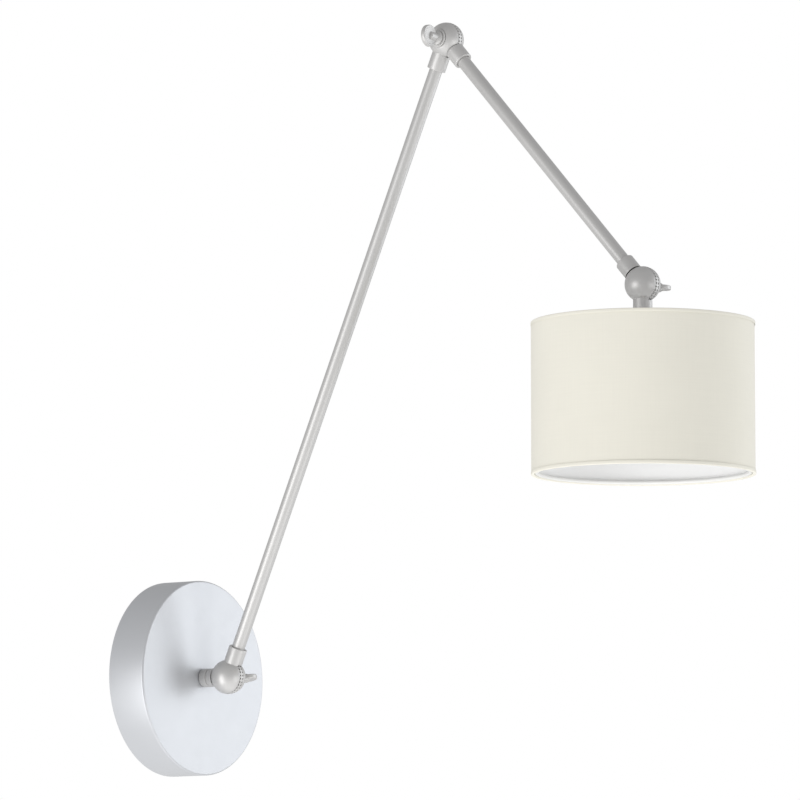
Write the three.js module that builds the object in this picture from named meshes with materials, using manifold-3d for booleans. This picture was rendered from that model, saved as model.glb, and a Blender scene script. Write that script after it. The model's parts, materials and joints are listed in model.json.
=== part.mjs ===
// Swing arm wall sconce: a round wall rose, two tubular arms joined by clamped ball
// knuckles, and a fabric drum shade round a small bulb. Millimetres, +Z up.
// Origin: centre of the wall bracket's back face. The wall is the plane y = 0 and the
// lamp reaches out along -Y. Every hinge axis lies along X.
import * as THREE from 'three';
import { mergeVertices } from 'three/addons/utils/BufferGeometryUtils.js';
import Module from 'manifold-3d';

const wasm = await Module();
wasm.setup();

// ---- Driving dimensions ------------------------------------------------------------

// Fits
const gap = 0.3; // between faces that touch on the real lamp
const slip = 0.25; // round a tube or thread inside its bore

// Wall bracket: a flat bar with both ends bent forward
const bracketWidth = 22;
const bracketThickness = 2;
const earDepth = 14;
const slotWidth = 5;
const slotLength = 14;

// Rose: the round cover plate on the wall
const roseDiameter = 150;
const roseDepth = 33;
const roseWall = 1.5;
const roseEdgeRadius = 1.2;
const roseGrubRadius = 1.9;

// Arms: from pivot to pivot, and their rest angles from the horizontal
const lowerArmLength = 517;
const upperArmLength = 267.5;
const lowerArmRise = 66.42;
const upperArmDrop = 48.59;
const tubeRadius = 5;
const tubeWall = 1;
const tubeSides = 24;

// Ball knuckles
const ballRadius = 13.25;
const ballWall = 2.6;
const neckReach = 24; // from the pivot to the neck's end
const stemNeckReach = 17.3; // the wall knuckle's neck stops at a separate collar
const tightestFold = 62.9; // degrees between two necks where they would touch
const seamThickness = 3.6; // the toothed ring between the two halves
const toothCount = 32;
const toothDepth = 0.9;
const screwRadius = 2.4;
const screwBossRadius = 4.2;
const flatRadius = 7.9; // spot face that the wing screw's washer sits on
const paddleRadius = 8.3;
const paddleThickness = 3.4;
const wireBoreRadius = 3.6;
const threadRadius = 4.9; // the M10 nipples

// Wing screw paddles: turned about the hinge axis, 0 = upright
const wallWingTurn = 78;
const elbowWingTurn = 0;
const shadeWingTurn = 93;

// Leads
const coreRadius = 1;
const flexRadius = 2.6;

// Shade
const shadeDiameter = 165.4;
const shadeHeight = 112.4;
const shadeDrop = 28; // from the shade pivot to the shade's top edge
const fabricThickness = 0.7;
const linerThickness = 0.6;
const trimThickness = 0.4;
const trimHeight = 2.6;
const hoopRadius = 1.4;
const shadeSides = 40;
const spokeCount = 3;

// Lamp holder and bulb
const holderRadius = 13.9;
const holderLength = 38;
const holderFlangeRadius = 17;
const holderFlangeHeight = 3;
const holderBoreRadius = 8.2;
const spiderRecess = 11.6; // from the shade's top edge down to the spider plate
const spiderPlate = 1.6;
const shadeRingHeight = 7;
const bulbCapRadius = 6.8;
const bulbCapLength = 20;
const bulbCollarLength = 14;
const globeRadius = 22.5;

// ---- Worked out from the above -----------------------------------------------------

const rad = THREE.MathUtils.degToRad;
const along = (angle, length) => new THREE.Vector3(
  0, length * Math.cos(rad(angle)), length * Math.sin(rad(angle)));

// Directions in the YZ plane are angles from +Y towards +Z.
const lowerArmAngle = 180 - lowerArmRise;
const upperArmAngle = 180 + upperArmDrop;
const wallPivot = new THREE.Vector3(0, -(roseDepth + neckReach), 0);
const elbowPivot = wallPivot.clone().add(along(lowerArmAngle, lowerArmLength));
const shadePivot = elbowPivot.clone().add(along(upperArmAngle, upperArmLength));

const reliefRadius = ballRadius + gap + 0.05;
const neckRadius = reliefRadius * Math.sin(rad(tightestFold / 2));
const cavityRadius = ballRadius - ballWall;
const seamFace = seamThickness / 2 + gap;
const flatReach = Math.sqrt(ballRadius ** 2 - flatRadius ** 2);
const sleeveBoreRadius = tubeRadius + slip;
const sleeveDepth = neckReach - reliefRadius;
const washerRadius = flatRadius - 0.8;
const washerThickness = 1;
const collarStart = flatReach + washerThickness + 2 * gap;
const paddleCentre = collarStart + 2 + paddleRadius;

// ---- Solids ------------------------------------------------------------------------

/** Shared vertices merged, folded slivers dropped and the faces turned outwards. */
function closed(geometry) {
  geometry.deleteAttribute('normal');
  geometry.deleteAttribute('uv');
  const merged = mergeVertices(geometry, 1e-4);
  const corners = [];
  const index = merged.index.array;
  for (let i = 0; i < index.length; i += 3) {
    const [a, b, c] = [index[i], index[i + 1], index[i + 2]];
    if (a !== b && b !== c && c !== a) corners.push(a, b, c);
  }
  merged.setIndex(corners);
  return signedVolume(merged) < 0 ? merged.setIndex(flipped(corners)) : merged;
}

/** Six times the enclosed volume, negative when the faces point inwards. */
function signedVolume(geometry) {
  const at = geometry.attributes.position;
  const [p, q, r] = [new THREE.Vector3(), new THREE.Vector3(), new THREE.Vector3()];
  let sum = 0;
  for (let i = 0; i < geometry.index.count; i += 3) {
    p.fromBufferAttribute(at, geometry.index.getX(i));
    q.fromBufferAttribute(at, geometry.index.getX(i + 1));
    r.fromBufferAttribute(at, geometry.index.getX(i + 2));
    sum += p.dot(q.cross(r));
  }
  return sum;
}

function flipped(corners) {
  return corners.map((_, i) => corners[i - (i % 3) + [0, 2, 1][i % 3]]);
}

function toSolid(geometry) {
  const shell = closed(geometry.clone());
  return new wasm.Manifold(new wasm.Mesh({
    numProp: 3,
    vertProperties: new Float32Array(shell.attributes.position.array),
    triVerts: new Uint32Array(shell.index.array),
  }));
}

function toGeometry(solid) {
  const mesh = solid.getMesh();
  return new THREE.BufferGeometry()
    .setAttribute('position', new THREE.BufferAttribute(mesh.vertProperties, 3))
    .setIndex([...mesh.triVerts]);
}

/** A profile of [radius, height] points turned about Z. */
function turned(profile, sides = 24) {
  const points = profile.map(([radius, height]) => new THREE.Vector2(radius, height));
  return closed(new THREE.LatheGeometry(points, sides).rotateX(Math.PI / 2));
}

/** A round bar along Z. */
function bar(radius, from, to, sides = 20) {
  return turned([[0, from], [radius, from], [radius, to], [0, to]], sides);
}

/** A ring or pipe along Z. */
function pipe(inner, outer, from, to, sides = 24) {
  return turned([[inner, from], [outer, from], [outer, to], [inner, to], [inner, from]], sides);
}

/** A hoop of round wire lying flat at a height. */
function hoop(radius, wire, height, sides, wireSides = 6) {
  const profile = [];
  for (let i = 0; i <= wireSides; i += 1) {
    const turn = (i % wireSides) * 2 * Math.PI / wireSides;
    profile.push([radius + wire * Math.cos(turn), height + wire * Math.sin(turn)]);
  }
  return turned(profile, sides);
}

function sphere(radius, sides = 20) {
  return closed(new THREE.SphereGeometry(radius, sides, sides / 2).rotateX(Math.PI / 2));
}

/** A block between two corners. */
function block(low, high) {
  const size = high.map((value, i) => value - low[i]);
  const middle = high.map((value, i) => (value + low[i]) / 2);
  return closed(new THREE.BoxGeometry(...size).translate(...middle));
}

/** An outline in XY carried up from one height to another. */
function raised(shape, from, to) {
  const options = { depth: to - from, bevelEnabled: false, curveSegments: 6 };
  return closed(new THREE.ExtrudeGeometry(shape, options).translate(0, 0, from));
}

/** A round lead along a smooth curve. */
function lead(points, radius, steps, sides = 6) {
  const curve = new THREE.CatmullRomCurve3(points.map((p) => new THREE.Vector3(...p)));
  const section = new THREE.Shape();
  for (let i = 0; i < sides; i += 1) {
    const turn = i * 2 * Math.PI / sides;
    const corner = [radius * Math.cos(turn), radius * Math.sin(turn)];
    if (i) section.lineTo(...corner);
    else section.moveTo(...corner);
  }
  return closed(new THREE.ExtrudeGeometry(section, { steps, extrudePath: curve }));
}

const join = (...shapes) => toGeometry(shapes.map(toSolid).reduce((a, b) => a.add(b)));
const cut = (shape, ...tools) => toGeometry(
  tools.map(toSolid).reduce((a, b) => a.subtract(b), toSolid(shape)));
const common = (a, b) => toGeometry(toSolid(a).intersect(toSolid(b)));
const onX = (geometry) => geometry.rotateY(Math.PI / 2);

// ---- Materials ---------------------------------------------------------------------

const finish = (color, roughness, metalness) => new THREE.MeshStandardMaterial(
  { color, roughness, metalness });
const paint = finish(0xc9c6c4, 0.42, 0.25);
const steel = finish(0xb9b8b4, 0.35, 0.9);
const brass = finish(0xc8ab6a, 0.35, 0.9);
const whitePlastic = finish(0xefeee8, 0.5, 0);
const fabric = finish(0xe9e7d9, 0.9, 0);
const linerWhite = finish(0xf4f4f2, 0.8, 0);
const opal = finish(0xfafaf6, 0.3, 0);
const brownCore = finish(0x6b4630, 0.6, 0);
const blueCore = finish(0x3a63a8, 0.6, 0);
const greenCore = finish(0x6f9a3c, 0.6, 0);
const whiteFlex = finish(0xe4e4e0, 0.6, 0);

function piece(name, geometry, material) {
  const mesh = new THREE.Mesh(geometry, material);
  mesh.name = name;
  return mesh;
}

/** A group at a pivot whose own +Z points along a direction in the YZ plane. */
function bodyAt(pivot, angle) {
  const group = new THREE.Group();
  group.position.copy(pivot);
  group.rotation.x = rad(angle - 90);
  return group;
}

// ---- Ball knuckle ------------------------------------------------------------------

/**
 * One half of a knuckle: a hollow half ball on one side of the seam with a neck along
 * +Z. Past the seam the neck is hollowed out round the other half, so that both can
 * turn. The wing side has a spot face and a through hole, the other a blind thread.
 */
function knuckleHalf(side, wingSide, reach, boreDepth) {
  const far = neckReach * 2;
  const ownSide = side > 0
    ? block([seamFace, -far, -far], [far, far, far])
    : block([-far, -far, -far], [-seamFace, far, far]);
  const otherSide = side > 0
    ? block([-far, -far, -far], [seamFace, far, far])
    : block([-seamFace, -far, -far], [far, far, far]);
  const dome = common(sphere(ballRadius), ownSide);
  const edge = 0.5;
  const neck = turned([
    [0, 0], [neckRadius, 0], [neckRadius, reach - edge], [neckRadius - edge, reach], [0, reach]]);
  const reliefSides = 24;
  const relief = sphere(reliefRadius / Math.cos(Math.PI / reliefSides) ** 2, reliefSides);
  const relieved = cut(neck, common(relief, otherSide));
  const boss = onX(bar(screwBossRadius, 0, side * (cavityRadius + 1), 12));
  const cavity = cut(sphere(cavityRadius, 14), boss);
  const holeEnd = wingSide ? far : cavityRadius;
  const tools = [
    cavity,
    bar(wireBoreRadius, screwBossRadius + 1.5, reach + 1, 12),
    bar(sleeveBoreRadius, reach - boreDepth, reach + 1),
    onX(bar(screwRadius + gap, 0, side * holeEnd, 12)),
  ];
  if (wingSide) {
    const above = side > 0
      ? block([flatReach, -far, -far], [far, far, neckRadius])
      : block([-far, -far, -far], [-flatReach, far, neckRadius]);
    tools.push(above);
  }
  return cut(join(dome, relieved), ...tools);
}

/** The ring between two halves, with a tooth for each click of the joint. */
function toothRing() {
  const teeth = new THREE.Shape();
  for (let i = 0; i < 2 * toothCount; i += 1) {
    const radius = i % 2 ? ballRadius - toothDepth : ballRadius;
    const turn = i * Math.PI / toothCount;
    const corner = [radius * Math.cos(turn), radius * Math.sin(turn)];
    if (i) teeth.lineTo(...corner);
    else teeth.moveTo(...corner);
  }
  const ring = raised(teeth, -seamThickness / 2, seamThickness / 2);
  return onX(cut(ring, bar(cavityRadius, -seamThickness, seamThickness)));
}

/** A wing screw along +X: thread, collar and a round flat paddle. */
function wingScrew() {
  const threadEnd = -(cavityRadius - 1);
  const shank = onX(turned([
    [0, threadEnd], [screwRadius - 0.4, threadEnd], [screwRadius, threadEnd + 0.6],
    [screwRadius, collarStart], [washerRadius - 1.6, collarStart],
    [washerRadius - 1.6, collarStart + 1.4], [screwRadius + 1.2, collarStart + 2.4],
    [screwRadius + 1.2, paddleCentre], [0, paddleCentre]], 16));
  const half = paddleThickness / 2;
  const rounding = 0.8;
  const paddle = turned([
    [0, -half], [paddleRadius - rounding, -half], [paddleRadius, rounding - half],
    [paddleRadius, half - rounding], [paddleRadius - rounding, half], [0, half]], 24)
    .rotateX(Math.PI / 2)
    .translate(paddleCentre, 0, 0);
  return join(shank, paddle);
}

/** The ring and the washer of a knuckle, placed on the wing's side. */
function knuckleRings(place, wing, owner) {
  const washer = onX(pipe(screwRadius + gap, washerRadius, flatReach + gap,
    flatReach + gap + washerThickness));
  const washerMesh = piece(place + '_wing_washer', washer, paint);
  if (wing < 0) washerMesh.rotation.z = Math.PI;
  owner.add(piece(place + '_tooth_ring', toothRing(), paint), washerMesh);
}

/** A wing screw at a pivot, on the +X or the -X side. */
function wingAt(place, pivot, wing, turn, material) {
  const mesh = piece(place + '_wing_screw', wingScrew(), material);
  if (wing < 0) mesh.geometry.rotateZ(Math.PI);
  mesh.position.copy(pivot);
  mesh.rotation.x = rad(turn);
  return mesh;
}

// ---- Wall side ---------------------------------------------------------------------

/** Turns shapes built along +Z so that they run from the wall, y = 0, towards -Y. */
const fromWall = (geometry) => geometry.rotateX(Math.PI / 2);

const roseInnerRadius = roseDiameter / 2 - roseWall;
const earOuter = roseInnerRadius - 2;
const grubHeight = earDepth * 0.6;

function wallBracket() {
  const half = earOuter - bracketThickness;
  const slotMiddle = half * 0.78;
  const halfWidth = bracketWidth / 2;
  const outline = new THREE.Shape()
    .moveTo(-halfWidth, -half)
    .lineTo(halfWidth, -half)
    .lineTo(halfWidth, half)
    .lineTo(-halfWidth, half)
    .lineTo(-halfWidth, -half);
  for (const side of [-1, 1]) {
    const run = (slotLength - slotWidth) / 2;
    const slot = new THREE.Path()
      .absarc(0, side * slotMiddle + run, slotWidth / 2, 0, Math.PI)
      .absarc(0, side * slotMiddle - run, slotWidth / 2, Math.PI, 2 * Math.PI);
    outline.holes.push(slot);
  }
  const plate = fromWall(raised(outline, 0, bracketThickness));
  const ears = [-1, 1].map((side) => {
    const ends = [side * half, side * earOuter].sort((a, b) => a - b);
    return block([-halfWidth, -earDepth, ends[0]], [halfWidth, 0, ends[1]]);
  });
  const through = bar(roseGrubRadius + gap, -roseDiameter, roseDiameter, 16)
    .translate(0, -grubHeight, 0);
  return cut(join(plate, ...ears), through);
}

function roseCup() {
  const outer = roseDiameter / 2;
  const edge = roseEdgeRadius;
  const profile = [[outer - roseWall, 0], [outer, 0]];
  for (let i = 0; i <= 3; i += 1) {
    const turn = (i / 3) * Math.PI / 2;
    profile.push([outer - edge + edge * Math.cos(turn), roseDepth - edge + edge * Math.sin(turn)]);
  }
  profile.push([threadRadius + slip, roseDepth], [threadRadius + slip, roseDepth - roseWall],
    [outer - roseWall, roseDepth - roseWall], [outer - roseWall, 0]);
  const cup = fromWall(turned(profile, 48));
  const through = bar(roseGrubRadius + gap, -roseDiameter, roseDiameter, 16)
    .translate(0, -grubHeight, 0);
  return cut(cup, through);
}

function roseGrub(side) {
  const inner = earOuter - bracketThickness - 1.5;
  const outer = roseDiameter / 2 - 0.4;
  const body = bar(roseGrubRadius, inner, outer, 16);
  const socket = bar(roseGrubRadius * 0.55, outer - 1.8, outer + 1, 6);
  const grub = cut(body, socket);
  if (side < 0) grub.rotateX(Math.PI);
  return grub.translate(0, -grubHeight, 0);
}

/** Nipple, nut, washer and collar that hold the wall knuckle to the rose. */
const nippleInner = roseDepth - 11;
const nutFrom = nippleInner + 2.5;
const nutHeight = 5;
const nutRadius = 8.1;
const starFrom = nutFrom + nutHeight + gap;
const starTo = roseDepth - roseWall - gap;

function stemLocknut() {
  const nut = bar(nutRadius, nutFrom, nutFrom + nutHeight, 6);
  return fromWall(cut(nut, bar(threadRadius + slip, 0, roseDepth)));
}

function stemStarWasher() {
  const points = 16;
  const star = new THREE.Shape();
  for (let i = 0; i < 2 * points; i += 1) {
    const radius = i % 2 ? nutRadius - 0.6 : nutRadius + 0.9;
    const turn = i * Math.PI / points;
    const corner = [radius * Math.cos(turn), radius * Math.sin(turn)];
    if (i) star.lineTo(...corner);
    else star.moveTo(...corner);
  }
  return fromWall(cut(raised(star, starFrom, starTo), bar(threadRadius + slip, 0, roseDepth)));
}

// Terminal block on the bracket's lower half, with its ways one above another
const wayPitch = 8.5;
const ways = [-1, 0, 1];
const blockMiddle = -27;
const blockHalfWidth = 10;
const blockBack = bracketThickness + gap;
const blockFront = blockBack + 14;
const wayDepth = blockBack + 6;
const wayHeight = (way) => blockMiddle + way * wayPitch;
const terminalReach = 5.2;

function terminalBlock() {
  const tall = 1.5 * wayPitch;
  const body = block([-blockHalfWidth, -blockFront, blockMiddle - tall],
    [blockHalfWidth, -blockBack, blockMiddle + tall]);
  const tools = [];
  for (const way of ways) {
    tools.push(onX(bar(1.9, -blockHalfWidth - 1, blockHalfWidth + 1, 8))
      .translate(0, -wayDepth, wayHeight(way)));
    for (const side of [-1, 1]) {
      tools.push(fromWall(bar(2.1, wayDepth, blockFront + 1, 10))
        .translate(side * terminalReach, 0, wayHeight(way)));
    }
  }
  for (const between of [-0.5, 0.5]) {
    const notch = blockMiddle + between * wayPitch;
    tools.push(block([-blockHalfWidth - 1, -blockFront - 1, notch - 0.5],
      [blockHalfWidth + 1, 2.2 - blockFront, notch + 0.5]));
  }
  return cut(body, ...tools);
}

function terminalScrew(side, way) {
  const head = bar(1.75, wayDepth + 2.2, blockFront - 1.6, 10);
  const slot = block([-3, -0.35, blockFront - 2.6], [3, 0.35, blockFront]);
  return fromWall(cut(head, slot)).translate(side * terminalReach, 0, wayHeight(way));
}

/**
 * A core from its terminal, in a loop beside the block, through the nipple to the ball.
 * The three cores lie in a flat bundle whose steps lean (-1, 1, 1), so that they stay
 * clear of each other through every bend.
 */
function coreLead(way) {
  const spread = 0.85 * (2 * coreRadius - 0.05);
  const step = way * spread;
  const ballEnd = roseDepth + neckReach - reliefRadius - 1 - spread;
  const out = blockHalfWidth + 9.5;
  const forward = (share) => -(wayDepth + share * (nippleInner - wayDepth));
  const bundle = [
    [out, forward(0.02), blockMiddle + 6],
    [out + 1, forward(0.1), blockMiddle + 18],
    [out, forward(0.37), -1.5],
    [8, forward(0.49), 0],
    [1, forward(0.64), 0],
    [0, forward(0.82), 0],
    [0, -nippleInner - 4, 0],
    [0, -ballEnd, 0],
  ];
  return lead([
    [blockHalfWidth - 3.4, -wayDepth, wayHeight(way)],
    [blockHalfWidth + 1.5, -wayDepth, wayHeight(way)],
    ...bundle.map(([x, y, z]) => [x - step, y + step, z + step]),
  ], coreRadius, 26);
}

const base = new THREE.Group();
base.add(
  piece('wall_bracket', wallBracket(), steel),
  piece('rose_cup', roseCup(), paint),
  piece('rose_grub_upper', roseGrub(1), steel),
  piece('rose_grub_lower', roseGrub(-1), steel),
  piece('stem_locknut', stemLocknut(), steel),
  piece('stem_star_washer', stemStarWasher(), steel),
  piece('terminal_block', terminalBlock(), whitePlastic),
);
ways.forEach((way, i) => {
  const core = [['lead_neutral', blueCore], ['lead_earth', greenCore], ['lead_live', brownCore]][i];
  base.add(piece(core[0], coreLead(way), core[1]));
  for (const side of [-1, 1]) {
    const name = 'terminal_screw_' + (2 * i + (side > 0 ? 2 : 1));
    base.add(piece(name, terminalScrew(side, way), brass));
  }
});

const stem = bodyAt(wallPivot, 0);
const nippleStart = reliefRadius + gap;
const stemBoreDepth = stemNeckReach - reliefRadius;
stem.add(
  piece('wall_knuckle_base', knuckleHalf(1, true, stemNeckReach, stemBoreDepth), paint),
  piece('stem_nipple', pipe(wireBoreRadius, threadRadius, nippleStart,
    neckReach + roseDepth - nippleInner), steel),
  piece('stem_collar', pipe(threadRadius + slip, neckRadius, stemNeckReach + gap,
    neckReach - gap), paint),
);
knuckleRings('wall', 1, stem);

// ---- Arms --------------------------------------------------------------------------

/** An arm's tube and the flex inside it, between two pivots. */
function armTube(name, length, body) {
  const start = neckReach - sleeveDepth + 0.5;
  const flexStart = neckReach + 2;
  body.add(
    piece(name + '_arm_tube', pipe(tubeRadius - tubeWall, tubeRadius, start, length - start,
      tubeSides), paint),
    piece('lead_' + name + '_arm', bar(flexRadius, flexStart, length - flexStart, 12), whiteFlex),
  );
}

/** A knuckle half at an arm's far end, its neck pointing back along the arm. */
function farHalf(name, side, wingSide, length, body) {
  const half = piece(name, knuckleHalf(side, wingSide, neckReach, sleeveDepth), paint);
  half.position.z = length;
  half.rotation.x = Math.PI;
  body.add(half);
}

const lowerArm = bodyAt(wallPivot, lowerArmAngle);
lowerArm.add(piece('wall_knuckle_arm', knuckleHalf(-1, false, neckReach, sleeveDepth), paint));
armTube('lower', lowerArmLength, lowerArm);
farHalf('elbow_knuckle_lower', -1, true, lowerArmLength, lowerArm);
const elbowRings = new THREE.Group();
elbowRings.position.z = lowerArmLength;
knuckleRings('elbow', -1, elbowRings);
lowerArm.add(elbowRings);

const upperArm = bodyAt(elbowPivot, upperArmAngle);
upperArm.add(piece('elbow_knuckle_upper', knuckleHalf(1, false, neckReach, sleeveDepth), paint));
armTube('upper', upperArmLength, upperArm);
farHalf('shade_knuckle_arm', 1, true, upperArmLength, upperArm);
const shadeRings = new THREE.Group();
shadeRings.position.z = upperArmLength;
knuckleRings('shade', 1, shadeRings);
upperArm.add(shadeRings);

// ---- Shade and lamp holder: +Z runs down the shade's axis from its pivot -----------

const shadeRadius = shadeDiameter / 2;
const shadeTop = shadeDrop;
const shadeBottom = shadeDrop + shadeHeight;
const fabricOuter = shadeRadius - trimThickness - gap;
const fabricInner = fabricOuter - fabricThickness;
const linerOuter = fabricInner - gap;
const linerInner = linerOuter - linerThickness;
const trimInner = linerInner - gap - trimThickness;
const hoopCentre = trimInner - gap - hoopRadius;
const topHoopHeight = shadeTop + trimThickness + gap + hoopRadius;
const bottomHoopHeight = shadeBottom - trimThickness - gap - hoopRadius;
const spiderTop = shadeTop + spiderRecess;
const holderTop = neckReach + gap;
const flangeTop = spiderTop - gap - holderFlangeHeight;
const holderEnd = flangeTop + holderLength;
const bulbCapStart = holderEnd - bulbCapLength;
const collarFrom = holderEnd + gap;
const collarEnd = collarFrom + bulbCollarLength;
const globeCentre = collarEnd + globeRadius - 6;

/** A thin tape folded over an edge of the shade, seen as a U in section. */
function trim(edge, inward) {
  const outer = edge + inward * trimThickness;
  const legs = edge + inward * trimHeight;
  return turned([
    [trimInner, edge], [shadeRadius, edge], [shadeRadius, legs],
    [shadeRadius - trimThickness, legs], [shadeRadius - trimThickness, outer],
    [trimInner + trimThickness, outer], [trimInner + trimThickness, legs],
    [trimInner, legs], [trimInner, edge]], shadeSides);
}

/** The hub plate and spokes between the lamp holder and the shade's top hoop. */
function shadeSpider() {
  const hubOuter = holderFlangeRadius + 2;
  const hub = pipe(holderRadius + gap, hubOuter, spiderTop, spiderTop + spiderPlate);
  const rise = spiderTop + spiderPlate / 2 - topHoopHeight;
  const reach = (hoopCentre - hoopRadius) * Math.cos(Math.PI / shadeSides) - 2 * gap;
  const start = hubOuter - 1;
  const run = reach - start;
  const spoke = bar(hoopRadius * 0.9, 0, Math.hypot(run, rise), 8)
    .rotateY(Math.PI / 2 + Math.atan2(rise, run))
    .translate(start, 0, spiderTop + spiderPlate / 2);
  const spokes = [];
  for (let i = 0; i < spokeCount; i += 1) {
    spokes.push(spoke.clone().rotateZ(Math.PI / 2 + i * 2 * Math.PI / spokeCount));
  }
  return join(hub, ...spokes);
}

function holderCap() {
  const end = flangeTop - gap;
  const shoulder = end - 2;
  const profile = [
    [threadRadius + slip, holderTop], [threadRadius + 2.6, holderTop],
    [threadRadius + 3.2, holderTop + 1.6], [holderRadius - 1.5, shoulder - 2],
    [holderRadius, shoulder], [holderRadius, end], [holderRadius - 2, end],
    [holderRadius - 2, shoulder + 0.6], [threadRadius + slip, shoulder - 2.4],
    [threadRadius + slip, holderTop]];
  return turned(profile);
}

function holderBody() {
  const seat = flangeTop + holderFlangeHeight;
  const floor = bulbCapStart - 4;
  const barrel = turned([
    [0, flangeTop], [holderFlangeRadius, flangeTop], [holderFlangeRadius, seat],
    [holderRadius, seat], [holderRadius, holderEnd - 0.8], [holderRadius - 0.8, holderEnd],
    [holderBoreRadius, holderEnd], [holderBoreRadius, floor], [0, floor]]);
  return cut(barrel, bar(flexRadius + gap, flangeTop - 1, floor + 1, 12));
}

function bulbCap() {
  const threads = 3;
  const tip = bulbCapStart;
  const skirt = tip + 3.5;
  const profile = [[0, tip], [2.4, tip], [2.4, tip + 1], [bulbCapRadius - 0.8, skirt]];
  const pitch = (holderEnd - 2 - skirt) / threads;
  for (let i = 0; i < threads; i += 1) {
    profile.push([bulbCapRadius, skirt + (i + 0.5) * pitch]);
    profile.push([bulbCapRadius - 0.6, skirt + (i + 1) * pitch]);
  }
  profile.push([bulbCapRadius - 0.6, holderEnd - gap], [0, holderEnd - gap]);
  return turned(profile, 16);
}

function bulbCollar() {
  return turned([
    [0, collarFrom], [bulbCapRadius + 1, collarFrom], [bulbCapRadius + 2.2, collarFrom + 2],
    [globeRadius * 0.62, collarEnd - 2], [globeRadius * 0.68, collarEnd], [0, collarEnd]]);
}

/** The globe, cut flat where it meets its collar. */
function bulbGlobe() {
  const far = globeRadius * 2;
  return cut(sphere(globeRadius, 20).translate(0, 0, globeCentre),
    block([-far, -far, globeCentre - far], [far, far, collarEnd + gap]));
}

const shade = bodyAt(shadePivot, 270);
const bore = bulbCapStart - 4;
shade.add(
  piece('shade_knuckle_neck', knuckleHalf(-1, false, neckReach, sleeveDepth), paint),
  piece('shade_nipple', pipe(wireBoreRadius, threadRadius, neckReach - sleeveDepth + 0.5,
    flangeTop - 4 - gap), steel),
  piece('lead_shade', bar(flexRadius, neckReach - sleeveDepth + 1, bore - gap, 12), whiteFlex),
  piece('holder_cap', holderCap(), whitePlastic),
  piece('holder_body', holderBody(), whitePlastic),
  piece('holder_contact', block([-3.5, -1.6, bore + gap], [3.5, 1.6, bore + gap + 0.8]), brass),
  piece('shade_ring', pipe(holderRadius + slip, holderRadius + 3.6,
    spiderTop + spiderPlate + gap, spiderTop + spiderPlate + gap + shadeRingHeight),
  whitePlastic),
  piece('shade_spider', shadeSpider(), steel),
  piece('shade_fabric', pipe(fabricInner, fabricOuter, shadeTop + trimThickness + gap,
    shadeBottom - trimThickness - gap, shadeSides), fabric),
  piece('shade_liner', pipe(linerInner, linerOuter, shadeTop + trimThickness + gap,
    shadeBottom - trimThickness - gap, shadeSides), linerWhite),
  piece('shade_trim_top', trim(shadeTop, 1), fabric),
  piece('shade_trim_bottom', trim(shadeBottom, -1), fabric),
  piece('shade_top_hoop', hoop(hoopCentre, hoopRadius, topHoopHeight, shadeSides), steel),
  piece('shade_bottom_hoop', hoop(hoopCentre, hoopRadius, bottomHoopHeight, shadeSides), steel),
  piece('bulb_cap', bulbCap(), brass),
  piece('bulb_collar', bulbCollar(), whitePlastic),
  piece('bulb_globe', bulbGlobe(), opal),
);

// ---- The whole lamp ----------------------------------------------------------------

const lamp = new THREE.Group();
lamp.add(base, stem, lowerArm, upperArm, shade);
lamp.add(
  wingAt('wall', wallPivot, 1, wallWingTurn, paint),
  wingAt('elbow', elbowPivot, -1, elbowWingTurn, paint),
  wingAt('shade', shadePivot, 1, shadeWingTurn, paint),
);

export default lamp;
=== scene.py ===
"""Swing arm wall sconce: the finished surfaces, materials and studio around the fixed frame.

Shapes are made in millimetres about their own axes and placed in the frame, in metres.
"""
import json
import logging
import math
from collections.abc import Iterable, Sequence
from dataclasses import dataclass, field
from enum import Enum

import bmesh
import bpy
from mathutils import Matrix, Vector


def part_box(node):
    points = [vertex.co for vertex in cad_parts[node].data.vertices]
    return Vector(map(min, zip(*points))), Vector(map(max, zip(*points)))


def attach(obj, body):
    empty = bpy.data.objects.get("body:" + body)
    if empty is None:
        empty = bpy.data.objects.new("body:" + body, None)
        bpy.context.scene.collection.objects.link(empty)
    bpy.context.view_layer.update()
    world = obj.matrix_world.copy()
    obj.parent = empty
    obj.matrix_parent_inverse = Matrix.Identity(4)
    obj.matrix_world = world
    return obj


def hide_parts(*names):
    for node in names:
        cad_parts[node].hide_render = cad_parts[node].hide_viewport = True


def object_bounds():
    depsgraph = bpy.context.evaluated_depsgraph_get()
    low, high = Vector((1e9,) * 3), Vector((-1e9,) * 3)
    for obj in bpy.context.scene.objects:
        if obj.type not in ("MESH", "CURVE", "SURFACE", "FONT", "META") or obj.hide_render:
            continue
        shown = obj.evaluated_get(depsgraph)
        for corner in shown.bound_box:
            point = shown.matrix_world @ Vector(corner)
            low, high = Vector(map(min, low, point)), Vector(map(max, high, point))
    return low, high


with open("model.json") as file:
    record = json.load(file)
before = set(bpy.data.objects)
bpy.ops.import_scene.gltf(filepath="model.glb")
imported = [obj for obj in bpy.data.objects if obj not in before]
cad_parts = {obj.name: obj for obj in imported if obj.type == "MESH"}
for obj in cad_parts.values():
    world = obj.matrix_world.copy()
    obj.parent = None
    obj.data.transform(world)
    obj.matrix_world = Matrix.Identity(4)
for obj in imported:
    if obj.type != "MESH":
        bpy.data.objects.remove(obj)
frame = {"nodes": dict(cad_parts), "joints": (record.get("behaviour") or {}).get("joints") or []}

CAD_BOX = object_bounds()
MM = 0.001
GAP = 0.3  # between pieces that touch, in millimetres
SLIP = 0.25  # between a screw thread and the hole it goes through
THREAD_DEPTH = 0.45  # of the tubes that carry the wires
THREAD_PITCH = 1.0
FULL_TURN = 2 * math.pi
SMOOTH_ANGLE = math.radians(32)
log = logging.getLogger("sconce")

Point = tuple[float, float]
Colour = tuple[float, float, float]
Output = bpy.types.NodeSocket
Piece = bpy.types.Object


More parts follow.
